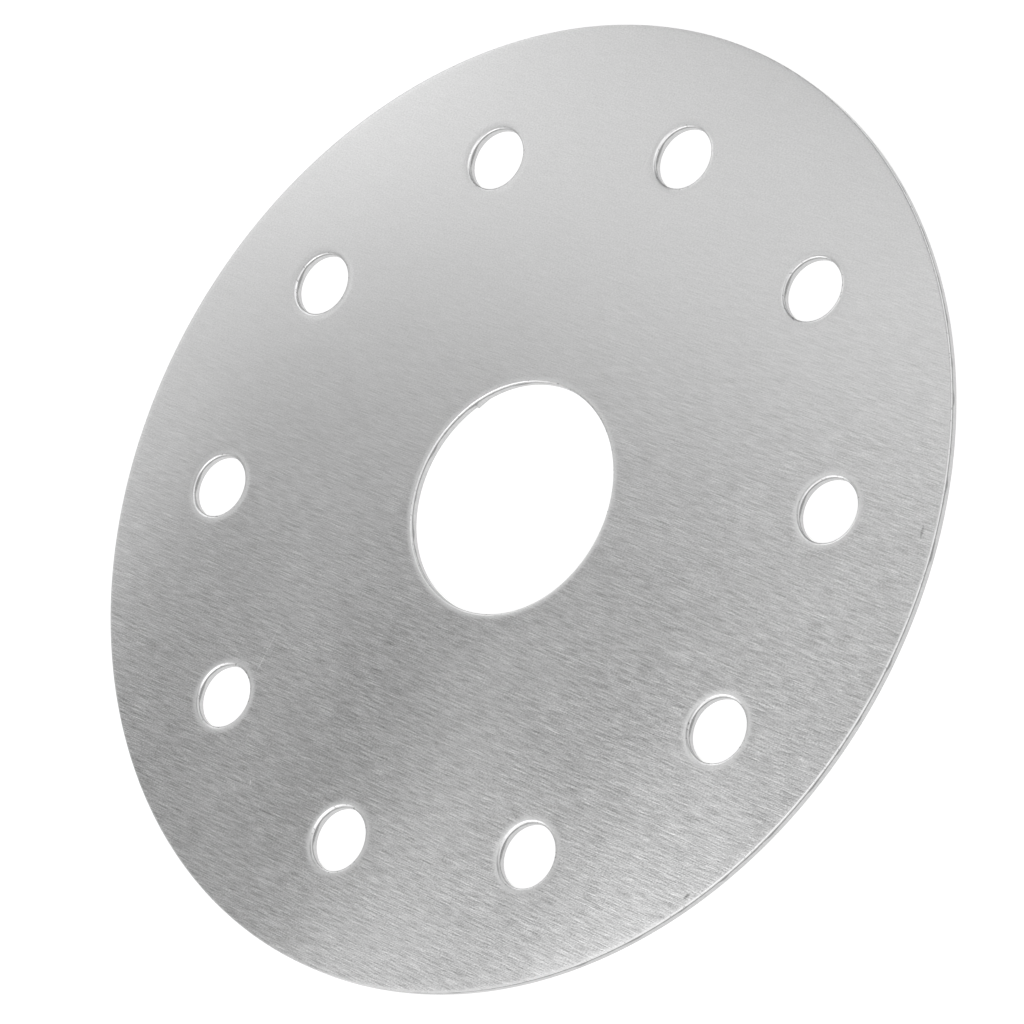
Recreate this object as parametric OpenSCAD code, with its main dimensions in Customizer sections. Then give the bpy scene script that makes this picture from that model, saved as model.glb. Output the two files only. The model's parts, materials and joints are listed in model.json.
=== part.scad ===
// Flat flange plate: a round disc cut from brushed stainless-steel sheet,
// with a hole in the middle and a ring of clearance holes for bolts.
// The plate lies flat. Its back face is at z = 0 and its front face looks along +Z.
// The origin is at the centre of the back face, and one bolt hole lies on +X.

/* [Plate] */
// Outside diameter of the plate
plate_d = 200; // [190:1:300]
// Thickness of the sheet
plate_t = 2; // [1.5:0.1:6]
// Radius that breaks the edges of the rim and of every hole
edge_r = 0.3; // [0.1:0.05:0.5]

/* [Centre hole] */
// Diameter of the hole in the middle
centre_d = 48; // [10:1:70]

/* [Bolt holes] */
// Diameter of the circle that the bolt holes' centres lie on
bolt_circle_d = 150; // [100:1:160]
// Number of bolt holes, equally spaced
bolt_count = 10; // [4:1:12]
// Diameter of each bolt hole, a clearance hole for an M12 bolt
bolt_hole_d = 13; // [6:0.5:16]

/* [Hidden] */
// Angle from one bolt hole to the next
bolt_step = 360 / bolt_count;
// How far a cutter runs past each face of the sheet
overrun = 1;
// Colour of the bare steel
steel = [0.72, 0.72, 0.73];
// Segments round a full circle
$fn = 180;

// Disc with its back face at z = 0, and both edges of its rim rounded
module rounded_disc(d, t, edge) {
    r = d / 2;
    rotate_extrude() {
        square([r - edge, t]);
        translate([0, edge]) square([r, t - 2 * edge]);
        for (z = [edge, t - edge]) translate([r - edge, z]) circle(r = edge);
    }
}

// Cutter for a through hole that is rounded where it meets either face
module rounded_hole(d, t, edge) {
    r = d / 2;
    rotate_extrude() {
        translate([0, -overrun]) square([r, t + 2 * overrun]);
        difference() {
            translate([0, -overrun]) square([r + edge, overrun + edge]);
            translate([r + edge, edge]) circle(r = edge);
        }
        difference() {
            translate([0, t - edge]) square([r + edge, overrun + edge]);
            translate([r + edge, t - edge]) circle(r = edge);
        }
    }
}

// The whole plate, the flange's only piece
module flange_plate() {
    color(steel)
        difference() {
            rounded_disc(plate_d, plate_t, edge_r);
            rounded_hole(centre_d, plate_t, edge_r);
            for (k = [0 : bolt_count - 1])
                rotate([0, 0, k * bolt_step])
                    translate([bolt_circle_d / 2, 0, 0])
                        rounded_hole(bolt_hole_d, plate_t, edge_r);
        }
}

flange_plate();
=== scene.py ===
"""A flat round flange plate of brushed stainless steel, on a plain white studio table.

Lengths are in metres in the CAD model's frame: the plate lies flat on z = 0, +Z is its front
face's normal, one bolt hole is on +X, and the grain of the brushing runs nearly along Y.
"""

import json
import math

import bmesh
import bpy
from mathutils import Matrix, Vector


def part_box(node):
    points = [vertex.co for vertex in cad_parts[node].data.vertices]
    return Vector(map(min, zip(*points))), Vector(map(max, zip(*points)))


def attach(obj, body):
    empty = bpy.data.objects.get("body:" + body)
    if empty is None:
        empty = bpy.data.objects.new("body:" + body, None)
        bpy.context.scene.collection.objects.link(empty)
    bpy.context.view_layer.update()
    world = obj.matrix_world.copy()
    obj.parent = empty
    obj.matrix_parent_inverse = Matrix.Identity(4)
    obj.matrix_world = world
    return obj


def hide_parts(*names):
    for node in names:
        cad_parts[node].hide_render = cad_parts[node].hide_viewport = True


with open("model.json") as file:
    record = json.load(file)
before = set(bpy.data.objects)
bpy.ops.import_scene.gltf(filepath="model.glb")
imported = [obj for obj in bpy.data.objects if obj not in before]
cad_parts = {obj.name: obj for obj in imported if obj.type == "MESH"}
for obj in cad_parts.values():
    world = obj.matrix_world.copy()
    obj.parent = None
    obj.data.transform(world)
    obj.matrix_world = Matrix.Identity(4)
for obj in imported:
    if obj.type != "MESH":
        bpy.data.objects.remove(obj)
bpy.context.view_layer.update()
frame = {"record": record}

MM = 0.001
NODE = "flange_plate"
MOUNTS = {m["name"]: m for m in frame["record"]["mounts"]}

# The plate's sizes, as packed
BOX_LOW, BOX_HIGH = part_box(NODE)
PLATE_R = round((BOX_HIGH.x - BOX_LOW.x) / 2, 4)
THICKNESS = round(BOX_HIGH.z - BOX_LOW.z, 5)
CENTRE_R = MOUNTS["centre_hole"]["dims"]["r_mm"] * MM
BOLT_CIRCLE_R = MOUNTS["bolt_circle"]["dims"]["pcd_mm"] / 2 * MM
BOLT_R = MOUNTS["bolt_circle"]["dims"]["hole_r_mm"] * MM
BOLT_COUNT = MOUNTS["bolt_circle"]["dims"]["count"]

# The edges: rounded by deburring, with a shallow roll-over where the brush ran off the face
FRONT_ROUND = 0.3 * MM
BACK_ROUND = 0.2 * MM
ROLL_DEPTH = 0.02 * MM
ROLL_WIDTH = 0.9 * MM
COLLAR_WIDTH = 2.4 * MM

# For each kind of wall: how broad the rounding of its front edge is, how far the burnished band
# reaches over the face, and the edge's grey, lighter than the face's partly for the burnished metal
# and partly as a painted highlight
RIM_FINISH = (0.25 * MM, 0.5 * MM, 0.80)
CENTRE_FINISH = (0.5 * MM, 1.5 * MM, 0.74)
BOLT_FINISH = (1.0 * MM, 1.9 * MM, 0.73)

# The cutter's lead-in left a step on the centre hole's lower edge; its place is in degrees
LEAD_IN_ANGLE = 52
LEAD_IN_SPAN = 7
LEAD_IN_DEPTH = 0.45 * MM

# How finely one sector of the plate, a bolt hole and its share of the disc, is divided
OUTER_STEPS = 48
SIDE_STEPS = 32
INNER_STEPS = 32
ROUND_STEPS = 6
WALL_STEPS = 4
ROLL_STEPS = 4
SPREAD_RINGS = 6
WELD_DISTANCE = 1e-6

# The least share of a face's normal along the plate's axis, on the flat faces and the rounded edges
FLAT_LEAN = 0.985
EDGE_LEAN = 0.1


# ---------------------------------------------------------------- mesh

def rounded_corner(width, depth, height):
    """(distance out from the wall, height) down a quarter ellipse, from the face to the wall."""
    points = []
    for i in range(1, ROUND_STEPS + 1):
        angle = math.pi / 2 * i / ROUND_STEPS
        points.append((width * (1 - math.sin(angle)), height - depth * (1 - math.cos(angle))))
    return points


def rolled_face(width, height):
    """The same for the shallow roll-over, from the flat face to where the round starts."""
    points = [(COLLAR_WIDTH, height)]
    for i in range(ROLL_STEPS + 1):
        share = 1 - i / ROLL_STEPS
        points.append((width + ROLL_WIDTH * share, height - ROLL_DEPTH * (1 - share) ** 2))
    return points


def edge_profile(width):
    """(distance out from the wall, height) down a hole's or the rim's edge, front face to back."""
    level = THICKNESS - ROLL_DEPTH
    front = rolled_face(width, THICKNESS) + rounded_corner(width, FRONT_ROUND, level)
    back = rolled_face(BACK_ROUND, THICKNESS) + rounded_corner(BACK_ROUND, BACK_ROUND, level)
    back = [(away, THICKNESS - z) for away, z in reversed(back)]
    top, bottom = front[-1][1], back[0][1]
    wall = [(0.0, top + (bottom - top) * i / WALL_STEPS) for i in range(1, WALL_STEPS)]
    return front + wall + back


def polar(radius, angle, centre=(0.0, 0.0)):
    return centre[0] + radius * math.cos(angle), centre[1] + radius * math.sin(angle)


def sector_outline(middle):
    """Points round one sector's flat part, counter-clockwise, between the two collars."""
    outer, inner = PLATE_R - COLLAR_WIDTH, CENTRE_R + COLLAR_WIDTH
    half = math.pi / BOLT_COUNT
    points = [polar(outer, middle + half * (2 * i / OUTER_STEPS - 1)) for i in range(OUTER_STEPS)]
    for i in range(SIDE_STEPS):
        points.append(polar(outer + (inner - outer) * i / SIDE_STEPS, middle + half))
    points += [polar(inner, middle + half * (1 - 2 * i / INNER_STEPS)) for i in range(INNER_STEPS)]
    for i in range(SIDE_STEPS):
        points.append(polar(inner + (outer - inner) * i / SIDE_STEPS, middle - half))
    return points


def bridge(bm, first, second, closed=True):
    """Quads between two rows of vertices of the same length."""
    count = len(first)
    for i in range(count if closed else count - 1):
        j = (i + 1) % count
        bm.faces.new((first[i], first[j], second[j], second[i]))


def lead_in_step(angle, away, z):
    """How far the lead-in step stands out of the centre hole's wall."""
    turn = (math.degrees(angle) - LEAD_IN_ANGLE) / LEAD_IN_SPAN
    if away > BACK_ROUND or z > THICKNESS * 0.5 or not -0.5 <= turn <= 0.5:
        return 0.0
    return LEAD_IN_DEPTH * (0.5 + turn)


def ring_rows(bm, centre, wall_r, width, angles, inwards, step=None):
    """The rows of vertices down an edge. On the rim, inwards is True: its metal is inside."""
    rows = []
    for away, z in edge_profile(width):
        row = []
        for angle in angles:
            out = away - (step(angle, away, z) if step else 0.0)
            radius = wall_r - out if inwards else wall_r + out
            row.append(bm.verts.new((*polar(radius, angle, centre), z)))
        rows.append(row)
    return rows


def add_wall(bm, rows):
    for upper, lower in zip(rows, rows[1:]):
        bridge(bm, upper, lower)


def add_sector(bm, middle):
    """One bolt hole with its edges, and the flat front and back of the sector round it."""
    centre = polar(BOLT_CIRCLE_R, middle)
    outline = sector_outline(middle)
    angles = [math.atan2(y - centre[1], x - centre[0]) for x, y in outline]
    rows = ring_rows(bm, centre, BOLT_R, BOLT_FINISH[0], angles, inwards=False)
    add_wall(bm, rows)
    for row, z in ((rows[0], THICKNESS), (rows[-1], 0.0)):
        last = row
        for i in range(1, SPREAD_RINGS + 1):
            share = i / SPREAD_RINGS
            ring = []
            for (x, y), inner in zip(outline, row):
                across = inner.co.x + (x - inner.co.x) * share
                along = inner.co.y + (y - inner.co.y) * share
                ring.append(bm.verts.new((across, along, z)))
            bridge(bm, last, ring)
            last = ring


def round_angles(steps):
    """The angles of the sectors' outline points round the whole plate, with steps to a sector."""
    total = steps * BOLT_COUNT
    start = -math.pi / BOLT_COUNT
    return [start + 2 * math.pi * i / total for i in range(total)]


def plate_mesh():
    """The whole plate as one closed mesh."""
    bm = bmesh.new()
    middle = (0.0, 0.0)
    for k in range(BOLT_COUNT):
        add_sector(bm, 2 * math.pi * k / BOLT_COUNT)
    outer_angles, inner_angles = round_angles(OUTER_STEPS), round_angles(INNER_STEPS)
    add_wall(bm, ring_rows(bm, middle, PLATE_R, RIM_FINISH[0], outer_angles, inwards=True))
    inner = ring_rows(bm, middle, CENTRE_R, CENTRE_FINISH[0], inner_angles, False, lead_in_step)
    add_wall(bm, inner)
    bmesh.ops.remove_doubles(bm, verts=bm.verts, dist=WELD_DISTANCE)
    bmesh.ops.recalc_face_normals(bm, faces=bm.faces)
    mesh = bpy.data.meshes.new("plate")
    bm.to_mesh(mesh)
    bm.free()
    return mesh


def nearest_wall(x, y):
    """(distance from the nearest wall, its circle's centre, its radius, its edge's finish)."""
    step = 2 * math.pi / BOLT_COUNT
    bolt = polar(BOLT_CIRCLE_R, step * round(math.atan2(y, x) / step))
    walls = [
        ((0.0, 0.0), PLATE_R, RIM_FINISH),
        ((0.0, 0.0), CENTRE_R, CENTRE_FINISH),
        (bolt, BOLT_R, BOLT_FINISH),
    ]
    return min((abs(math.hypot(x - c[0], y - c[1]) - r), c, r, finish) for c, r, finish in walls)


def add_finish_map(mesh):
    """The UV map "finish" runs across the grain on the faces and round the circle elsewhere."""
    uv = mesh.uv_layers.new(name="finish")
    for face in mesh.polygons:
        _, centre, radius, _ = nearest_wall(face.center.x, face.center.y)
        middle = math.atan2(face.center.y - centre[1], face.center.x - centre[0])
        for loop in face.loop_indices:
            co = mesh.vertices[mesh.loops[loop].vertex_index].co
            if face.material_index == 0:
                uv.data[loop].uv = (co.x, co.y)
                continue
            turn = math.atan2(co.y - centre[1], co.x - centre[0]) - middle
            turn = (turn + math.pi) % (2 * math.pi) - math.pi
            uv.data[loop].uv = ((middle + turn) * radius, co.z)


def add_wall_attributes(mesh):
    """The distance from the nearest wall, how far its burnished band reaches, its edge's grey,
    which is partly a painted highlight.

    The lengths are in millimetres.
    """
    names = ("wall_distance", "band_width", "edge_grey_and_highlight")
    distance, band, grey = [mesh.attributes.new(name, "FLOAT", "POINT") for name in names]
    for vertex in mesh.vertices:
        away, _, _, finish = nearest_wall(vertex.co.x, vertex.co.y)
        distance.data[vertex.index].value = away / MM
        band.data[vertex.index].value = finish[1] / MM
        grey.data[vertex.index].value = finish[2]


def finish_slot(face):
    """0 on the flat faces, 1 on the rounded edges, 2 on the walls and the lead-in step."""
    inside_centre_hole = CENTRE_R - 0.01 * MM
    if math.hypot(face.center.x, face.center.y) < inside_centre_hole:
        return 2
    if abs(face.normal.z) > FLAT_LEAN:
        return 0
    return 1 if abs(face.normal.z) > EDGE_LEAN else 2


def make_plate(materials):
    mesh = plate_mesh()
    for material in materials:
        mesh.materials.append(material)
    for face in mesh.polygons:
        face.use_smooth = True
        face.material_index = finish_slot(face)
    add_finish_map(mesh)
    add_wall_attributes(mesh)
    plate = bpy.data.objects.new("flange_plate_brushed", mesh)
    bpy.context.scene.collection.objects.link(plate)
    return plate


# ---------------------------------------------------------------- node helpers

def add_node(tree, kind, inputs, **settings):
    """A new node. inputs maps its sockets' names or numbers to values, or to sockets to link."""
    node = tree.nodes.new(kind)
    for name, value in settings.items():
        setattr(node, name, value)
    for key, value in inputs.items():
        if isinstance(value, bpy.types.NodeSocket):
            tree.links.new(value, node.inputs[key])
        else:
            node.inputs[key].default_value = value
    return node


def calc(tree, operation, first, second=0.0):
    return add_node(tree, "ShaderNodeMath", {0: first, 1: second}, operation=operation).outputs[0]


def product(tree, first, second):
    return calc(tree, "MULTIPLY", first, second)


def summed(tree, *values):
    """The values added in turn."""
    result = values[0]
    for value in values[1:]:
        result = calc(tree, "ADD", result, value)
    return result


def total(tree, *terms):
    """The sum of (socket, factor) pairs, each taken about its middle value of a half."""
    result = 0.0
    for socket, factor in terms:
        centred = calc(tree, "SUBTRACT", socket, 0.5)
        result = summed(tree, product(tree, centred, factor), result)
    return result


def fade(tree, value, start, end):
    """0 below start, 1 above end, or the other way round when end is the lower."""
    low, high = min(start, end), max(start, end)
    limits = {"Value": value, "From Min": low, "From Max": high}
    limits["To Min"] = 0.0 if start < end else 1.0
    limits["To Max"] = 1.0 - limits["To Min"]
    return add_node(tree, "ShaderNodeMapRange", limits, interpolation_type="SMOOTHSTEP").outputs[0]


def attribute(tree, name):
    return add_node(tree, "ShaderNodeAttribute", {}, attribute_name=name).outputs["Fac"]


def in_millimetres(tree, place):
    inputs = {0: place, "Scale": 1000.0}
    return add_node(tree, "ShaderNodeVectorMath", inputs, operation="SCALE").outputs[0]


def plate_point(tree):
    """The point in the plate's frame, in millimetres."""
    return in_millimetres(tree, add_node(tree, "ShaderNodeTexCoord", {}).outputs["Object"])


def wall_point(tree):
    """(length round the circle, height) on a wall, in millimetres."""
    return in_millimetres(tree, add_node(tree, "ShaderNodeUVMap", {}, uv_map="finish").outputs[0])


def placed(tree, point, at, turn, size):
    """The point in units of size, from the place at, along axes turned by turn degrees."""
    inputs = {"Vector": point, "Location": at, "Scale": size}
    inputs["Rotation"] = (0, 0, math.radians(turn))
    return add_node(tree, "ShaderNodeMapping", inputs, vector_type="TEXTURE").outputs[0]


def noise(tree, point, size, turn=0.0, detail=0.0, at=(0, 0, 0)):
    """Smooth noise about a half, with cells of the given size in millimetres."""
    inputs = {"Vector": placed(tree, point, at, turn, size), "Scale": 1.0}
    inputs["Detail"] = detail
    inputs["Roughness"] = 0.6
    return add_node(tree, "ShaderNodeTexNoise", inputs).outputs[0]


def spot(tree, point, at, turn, size):
    """1 in the middle of an ellipse with half-axes size, down to 0 outside it."""
    place = placed(tree, point, at, turn, size)
    inputs = {0: place}
    away = add_node(tree, "ShaderNodeVectorMath", inputs, operation="LENGTH").outputs["Value"]
    return fade(tree, away, 1.0, 0.3)


def new_material(name):
    material = bpy.data.materials.new(name)
    material.use_nodes = True
    return material, material.node_tree, material.node_tree.nodes["Principled BSDF"]


def steel_colour(tree, shader, level):
    """Make the shader a metal of a neutral grey of the given level."""
    colour = add_node(tree, "ShaderNodeCombineColor", {0: level, 1: level, 2: level}).outputs[0]
    tree.links.new(colour, shader.inputs["Base Color"])
    shader.inputs["Metallic"].default_value = 1


def add_bump(tree, shader, height, depth):
    """Raise the surface by up to depth, in metres, where height is 1."""
    bump = add_node(tree, "ShaderNodeBump", {"Height": height, "Distance": depth})
    tree.links.new(bump.outputs[0], shader.inputs["Normal"])


# ---------------------------------------------------------------- materials

# The faces: the grain's direction in degrees from +Y, the steel's grey and how it smears light
GRAIN_TURN = 2.5
GRAIN_HEIGHT = 0.02 * MM
FACE_GREY = 0.61
FACE_ROUGHNESS = 0.30
FACE_ANISOTROPY = 0.85

# How much each part of the faces' finish changes their grey, and their roughness
STREAK_CHANGE = (0.38, 0.02)
CLOUD_CHANGE = (0.03, 0.05)
BURNISHED_CHANGE = (0.16, 0.2)
# Painted shade and highlight: how much the broad bands across the grain change the grey.
SHADE_BAND_CHANGE = 0.035

# The grain's contrast is painted stronger towards this side, as painted shade; where that starts
# and is full, in millimetres
SHADED_SIDE = (-0.90, -0.43, 0)
SHADED_START, SHADED_FULL = -60, 50
LEAST_BITE = 0.12
LEAST_SPECK = 0.45

# The lighter and darker bands across the grain, painted shade and painted highlight: their gap and
# sway in millimetres, and the wave's start in radians
SHADE_BAND_GAP = 56
SHADE_BAND_SWAY = 8.0
SHADE_BAND_START = 2.5

EDGE_ROUGHNESS = 0.28
WALL_GREY = 0.60
WALL_ROUGHNESS = 0.42
FINE_BUMP = 0.02 * MM
TABLE_GREY = 0.25
TABLE_GLOW = 0.85


def grain(tree, point):
    """The brushing, about zero: fine scratches of several lengths, not quite parallel."""
    fine = noise(tree, point, (0.18, 3.6, 1), GRAIN_TURN, 1.0)
    short = noise(tree, point, (0.26, 5.5, 1), GRAIN_TURN + 0.5, 1.0, (9, 4, 7))
    slanted = noise(tree, point, (0.30, 7.5, 1), GRAIN_TURN + 3.5, 1.0, (31, 7, 5))
    other_way = noise(tree, point, (0.33, 8.5, 1), GRAIN_TURN - 2.5, 1.0, (13, 41, 9))
    long = noise(tree, point, (0.40, 24.0, 1), GRAIN_TURN + 0.3, 1.0, (3, 5, 17))
    return total(tree, (fine, 1.5), (short, 1.0), (slanted, 0.5), (other_way, 0.5), (long, 0.6))


def bite_and_shade(tree, point):
    """How strongly the grain shows: in patches, which is the brushing's own, and fading away over
    the plate towards +X and +Y, which is painted shade.
    """
    patchy = noise(tree, point, (5, 11, 3), GRAIN_TURN + 6, 1.5, (8, 2, 4))
    inputs = {0: point, 1: SHADED_SIDE}
    along = add_node(tree, "ShaderNodeVectorMath", inputs, operation="DOT_PRODUCT").outputs["Value"]
    # Painted shade: the grain's contrast grows towards one side of the plate.
    full = product(tree, fade(tree, along, SHADED_START, SHADED_FULL), 1 - LEAST_BITE)
    depth = summed(tree, full, LEAST_BITE)
    return product(tree, depth, summed(tree, total(tree, (patchy, 0.5)), 1.0))


def painted_shade_bands(tree, point):
    """Faint broad lighter and darker bands across the grain towards -X: painted shade and painted
    highlight.
    """
    wander = noise(tree, point, (60, 60, 60), 0, 0.0, (4, 4, 4))
    sway = total(tree, (wander, SHADE_BAND_SWAY))
    place = add_node(tree, "ShaderNodeSeparateXYZ", {0: point})
    turn = product(tree, summed(tree, place.outputs["Y"], sway), 2 * math.pi / SHADE_BAND_GAP)
    wave = calc(tree, "SINE", calc(tree, "SUBTRACT", turn, SHADE_BAND_START))
    return product(tree, wave, fade(tree, place.outputs["X"], 20, -50))


def burnished_band(tree, point):
    """1 at a wall's edge, down to 0 where its burnished band ends; the end wanders a little."""
    wander = noise(tree, point, (1.3, 1.3, 1.3), 0, 1.0)
    away = summed(tree, total(tree, (wander, 0.5)), attribute(tree, "wall_distance"))
    share = calc(tree, "DIVIDE", away, attribute(tree, "band_width"))
    return fade(tree, share, 1.0, 0.2)


# Scratches and dents on the front face: (x, y, half length, half width, turn, change of grey),
# in millimetres and degrees
HANDLING_MARKS = {
    "scratch": (-46.8, 39.0, 7.6, 0.22, 0, 0.10),
    "scratch_end": (-51.6, 39.0, 2.4, 0.26, 0, 0.14),
    "tick": (-73.6, 27.0, 1.0, 0.26, 25, 0.25),
    "rim_nick": (-53.6, -82.6, 0.9, 0.5, -33, -0.35),
    "rim_dent": (26.6, -93.4, 1.7, 0.4, 16, -0.22),
}


def handling_marks(tree, point):
    """The change of grey that the marks make."""
    change = 0.0
    for x, y, length, width, turn, grey in HANDLING_MARKS.values():
        mark = spot(tree, point, (x, y, THICKNESS / MM), turn, (length, width, 1))
        change = summed(tree, product(tree, mark, grey), change)
    return change


def face_streaks(tree, point, band):
    """The brushing and fine specks, about zero; the brushing stops at the burnished bands."""
    # Painted shade: the grain and specks follow the fade towards one side of the plate.
    depth = product(tree, bite_and_shade(tree, point), calc(tree, "SUBTRACT", 1.0, band))
    speck = total(tree, (noise(tree, point, (0.26, 0.42, 1), GRAIN_TURN, 0.0, (1, 2, 3)), 0.9))
    speck = product(tree, speck, calc(tree, "MAXIMUM", depth, LEAST_SPECK))
    return summed(tree, product(tree, grain(tree, point), depth), speck)


def face_steel():
    """The brushed faces: a smear of light across the grain, broken up by the scratches."""
    material, tree, shader = new_material("brushed_stainless_face")
    point = plate_point(tree)
    band = burnished_band(tree, point)
    cloud = noise(tree, point, (14, 22, 6), GRAIN_TURN, 2.0)
    streak = face_streaks(tree, point, band)

    level = summed(
        tree,
        product(tree, streak, STREAK_CHANGE[0]),
        total(tree, (cloud, CLOUD_CHANGE[0])),
        product(tree, band, BURNISHED_CHANGE[0]),
        handling_marks(tree, point),
        # Painted shade and highlight: broad bands across the grain.
        product(tree, painted_shade_bands(tree, point), SHADE_BAND_CHANGE),
        FACE_GREY,
    )
    steel_colour(tree, shader, level)

    rough = summed(
        tree,
        product(tree, streak, STREAK_CHANGE[1]),
        total(tree, (cloud, CLOUD_CHANGE[1])),
        product(tree, band, BURNISHED_CHANGE[1]),
        FACE_ROUGHNESS,
    )
    tree.links.new(rough, shader.inputs["Roughness"])

    add_bump(tree, shader, streak, GRAIN_HEIGHT)
    shader.inputs["Anisotropic"].default_value = FACE_ANISOTROPY
    tangent = add_node(tree, "ShaderNodeTangent", {}, direction_type="UV_MAP", uv_map="finish")
    tree.links.new(tangent.outputs["Tangent"], shader.inputs["Tangent"])
    return material


def edge_steel():
    """The rounded edges, burnished and lighter than the faces, partly as a painted highlight, with
    small dark pits where the grain runs out over them.
    """
    material, tree, shader = new_material("burnished_edge_steel")
    point = plate_point(tree)
    uneven = noise(tree, point, (0.8, 0.8, 0.5), 0, 2.0)
    pits = fade(tree, noise(tree, point, (0.5, 0.9, 0.5), GRAIN_TURN, 1.0, (6, 2, 1)), 0.36, 0.28)
    level = summed(
        tree,
        # Painted highlight in part: the edges' grey is lighter than the faces'.
        attribute(tree, "edge_grey_and_highlight"),
        total(tree, (uneven, 0.25)),
        product(tree, pits, -0.3),
        handling_marks(tree, point),
    )
    steel_colour(tree, shader, level)
    shader.inputs["Roughness"].default_value = EDGE_ROUGHNESS
    add_bump(tree, shader, uneven, FINE_BUMP)
    return material


def wall_steel():
    """The laser-cut walls: fine striations down the wall, and painted shade as a dark line at its
    top, under the rounded edge, and a fainter one at its bottom.
    """
    material, tree, shader = new_material("cut_wall_steel")
    arc = wall_point(tree)
    lines = noise(tree, arc, (0.22, 1.6, 1), 4, 1.0)
    coarse = noise(tree, arc, (1.4, 1.1, 1), 4, 1.0, (3, 9, 0))
    broad = noise(tree, arc, (6, 30, 1), 0, 1.0, (2, 1, 0))
    height = add_node(tree, "ShaderNodeSeparateXYZ", {0: arc}).outputs["Y"]
    top = (THICKNESS - FRONT_ROUND) / MM
    from_top = calc(tree, "SUBTRACT", top, height)
    reach = calc(tree, "MAXIMUM", total(tree, (broad, 2.4)), 0.0)
    # Painted shade: a dark line down from the wall's top, and a fainter one at its foot.
    painted_shade_top = fade(tree, calc(tree, "SUBTRACT", from_top, reach), 0.55, 0.2)
    painted_shade_bottom = fade(tree, height, 0.45, 0.2)
    level = summed(
        tree,
        total(tree, (lines, 0.16), (coarse, 0.10)),
        product(tree, painted_shade_top, -0.30),
        product(tree, painted_shade_bottom, -0.10),
        WALL_GREY,
    )
    steel_colour(tree, shader, level)
    shader.inputs["Roughness"].default_value = WALL_ROUGHNESS
    add_bump(tree, shader, lines, FINE_BUMP)
    return material


def table_white():
    """A dull white that shines a little itself, as bright as the photo's background."""
    material, tree, shader = new_material("table_white")
    shader.inputs["Base Color"].default_value = (TABLE_GREY, TABLE_GREY, TABLE_GREY, 1)
    shader.inputs["Roughness"].default_value = 1
    shader.inputs["Specular IOR Level"].default_value = 0
    shader.inputs["Emission Color"].default_value = (1, 1, 1, 1)
    shader.inputs["Emission Strength"].default_value = TABLE_GLOW
    return material


# ---------------------------------------------------------------- studio

FLOOR_SIDE = 60 * PLATE_R
FLOOR_GAP = 0.05 * MM

# The room's brightness: all round, behind the camera, and low beyond the plate
ROOM_LEVEL = 0.34
BEHIND_LEVEL = 0.61
BEYOND_LEVEL = 0.35
BELOW_SHARE = 0.5

# Soft patches of light on its walls: azimuth and elevation in degrees, width and brightness
KEY_PATCH = (-50, 55, 0.35, 0.8)
SIDE_PATCH = (243, 38, 0.3, 0.6)


def make_floor(material):
    """The table, a hair under the plate, so that the two don't lie in one plane."""
    bm = bmesh.new()
    bmesh.ops.create_grid(bm, x_segments=1, y_segments=1, size=FLOOR_SIDE / 2)
    mesh = bpy.data.meshes.new("table")
    bm.to_mesh(mesh)
    bm.free()
    mesh.materials.append(material)
    floor = bpy.data.objects.new("table", mesh)
    floor.location.z = -FLOOR_GAP
    bpy.context.scene.collection.objects.link(floor)
    return floor


def direction(azimuth, elevation):
    """The unit vector at these degrees, azimuth 0 being towards -Y and 90 towards +X."""
    a, e = math.radians(azimuth), math.radians(elevation)
    return Vector((math.sin(a) * math.cos(e), -math.cos(a) * math.cos(e), math.sin(e)))


def soft_patch(tree, look, azimuth, elevation, width, brightness):
    """The brightness towards a direction, dying off with an angle of about width radians."""
    inputs = {0: look, 1: direction(azimuth, elevation)}
    away = add_node(tree, "ShaderNodeVectorMath", inputs, operation="DISTANCE").outputs["Value"]
    share = calc(tree, "DIVIDE", away, width)
    square = product(tree, share, share)
    return product(tree, calc(tree, "EXPONENT", product(tree, square, -0.5)), brightness)


def make_world():
    """Pale walls all round: brightest behind the camera, darkest high up across the plate.

    Below the plate they are half as bright.
    """
    world = bpy.data.worlds.new("studio")
    bpy.context.scene.world = world
    world.use_nodes = True
    tree = world.node_tree
    look = add_node(tree, "ShaderNodeTexCoord", {}).outputs["Generated"]
    parts = add_node(tree, "ShaderNodeSeparateXYZ", {0: look})
    behind = product(tree, fade(tree, parts.outputs["Y"], 0.2, -0.4), BEHIND_LEVEL)
    beyond = product(tree, fade(tree, parts.outputs["Y"], 0.8, 0.95), BEYOND_LEVEL)
    walls = summed(tree, behind, beyond)
    patches = summed(tree, soft_patch(tree, look, *KEY_PATCH), soft_patch(tree, look, *SIDE_PATCH))
    level = summed(tree, walls, patches, ROOM_LEVEL)
    above = product(tree, fade(tree, parts.outputs["Z"], 0.0, 0.3), 1 - BELOW_SHARE)
    level = product(tree, level, summed(tree, above, BELOW_SHARE))
    background = tree.nodes["Background"]
    background.inputs["Color"].default_value = (1, 1, 1, 1)
    tree.links.new(level, background.inputs["Strength"])


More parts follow.
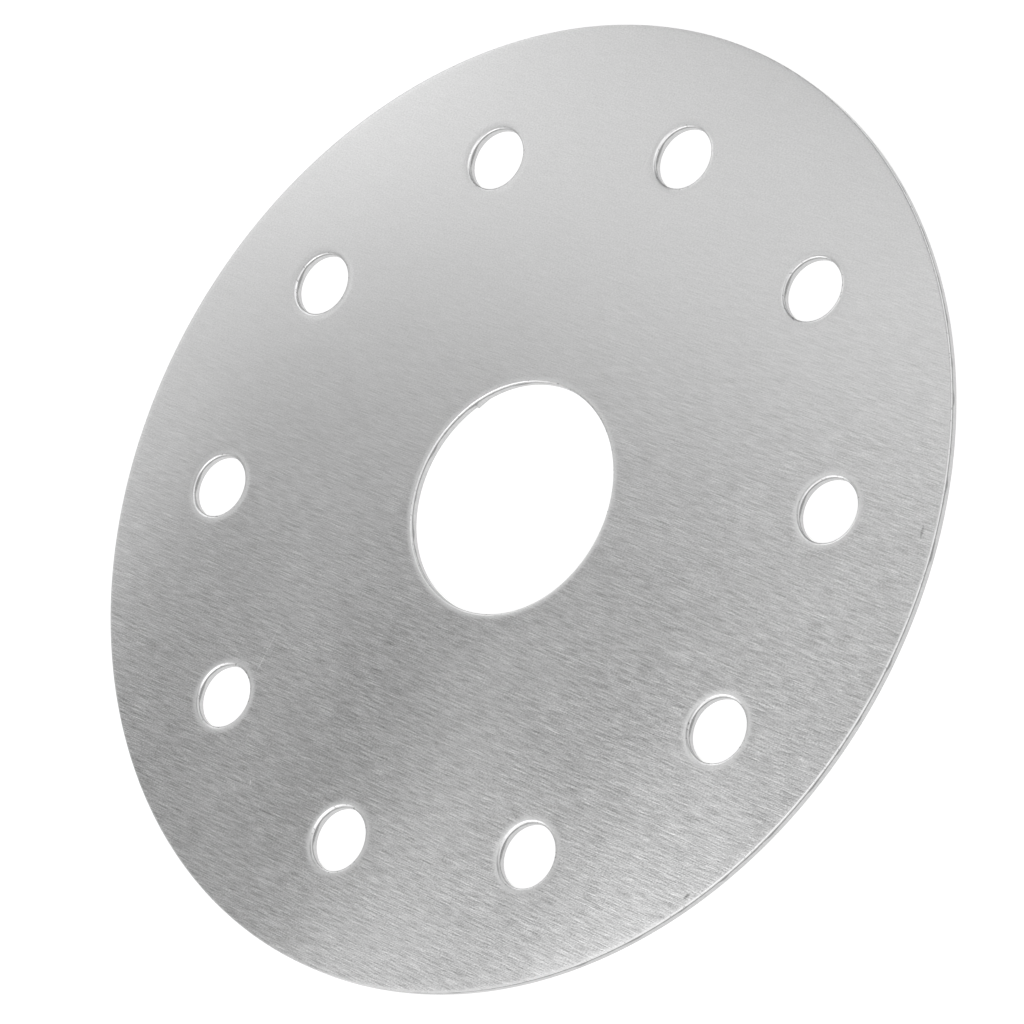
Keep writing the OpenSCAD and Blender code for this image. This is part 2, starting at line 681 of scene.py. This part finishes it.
# Soft boxes over the plate: the middle, the width and depth, all in metres, and the brightness
HANGING_BOXES = {
    "box_right": ((0.10, 0.15, 0.20), 0.10, 0.30, 1.03),
    "box_back": ((0.24, 0.64, 0.40), 0.64, 0.32, 1.04),
}
TILTED_BOXES = {
    "box_left_back": (0.25 * direction(237, 50), 0.12, 0.12, 0.91),
    "box_left": (0.25 * direction(257, 62), 0.12, 0.12, 1.02),
}


def make_soft_box(name, middle, width, depth, glow, tilted):
    """A rectangle that shines evenly, hanging level or tilted to face the plate's middle."""
    data = bpy.data.lights.new(name, "AREA")
    data.shape = "RECTANGLE"
    data.size, data.size_y = width, depth
    data.energy = glow * math.pi * width * depth
    box = bpy.data.objects.new(name, data)
    turn = Vector(middle).to_track_quat("Z", "Y").to_matrix().to_4x4() if tilted else Matrix()
    box.matrix_world = Matrix.Translation(middle) @ turn
    box.visible_camera = False
    bpy.context.scene.collection.objects.link(box)


CAMERA_AZIMUTH = -3.1
CAMERA_ELEVATION = 49.5
CAMERA_ROLL = -60.8
CAMERA_DISTANCE = 11.0 * PLATE_R
CAMERA_LENS = 197
CAMERA_SHIFT = (0.0013, -0.0146)


def make_camera():
    data = bpy.data.cameras.new("camera")
    data.lens = CAMERA_LENS
    data.sensor_width = 36
    data.shift_x, data.shift_y = CAMERA_SHIFT
    data.clip_start, data.clip_end = 0.01, 100
    back = direction(CAMERA_AZIMUTH, CAMERA_ELEVATION)
    camera = bpy.data.objects.new("camera", data)
    level = (-back).to_track_quat("-Z", "Y").to_matrix().to_4x4()
    roll = Matrix.Rotation(math.radians(CAMERA_ROLL), 4, "Z")
    aim = Vector((0, 0, THICKNESS))
    camera.matrix_world = Matrix.Translation(aim + back * CAMERA_DISTANCE) @ level @ roll
    bpy.context.scene.collection.objects.link(camera)
    bpy.context.scene.camera = camera


bpy.context.scene.view_settings.view_transform = "Standard"
make_camera()
make_world()
for name, settings in HANGING_BOXES.items():
    make_soft_box(name, *settings, tilted=False)
for name, settings in TILTED_BOXES.items():
    make_soft_box(name, *settings, tilted=True)
table = make_floor(table_white())

plate = make_plate([face_steel(), edge_steel(), wall_steel()])
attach(plate, "root")
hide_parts(NODE)
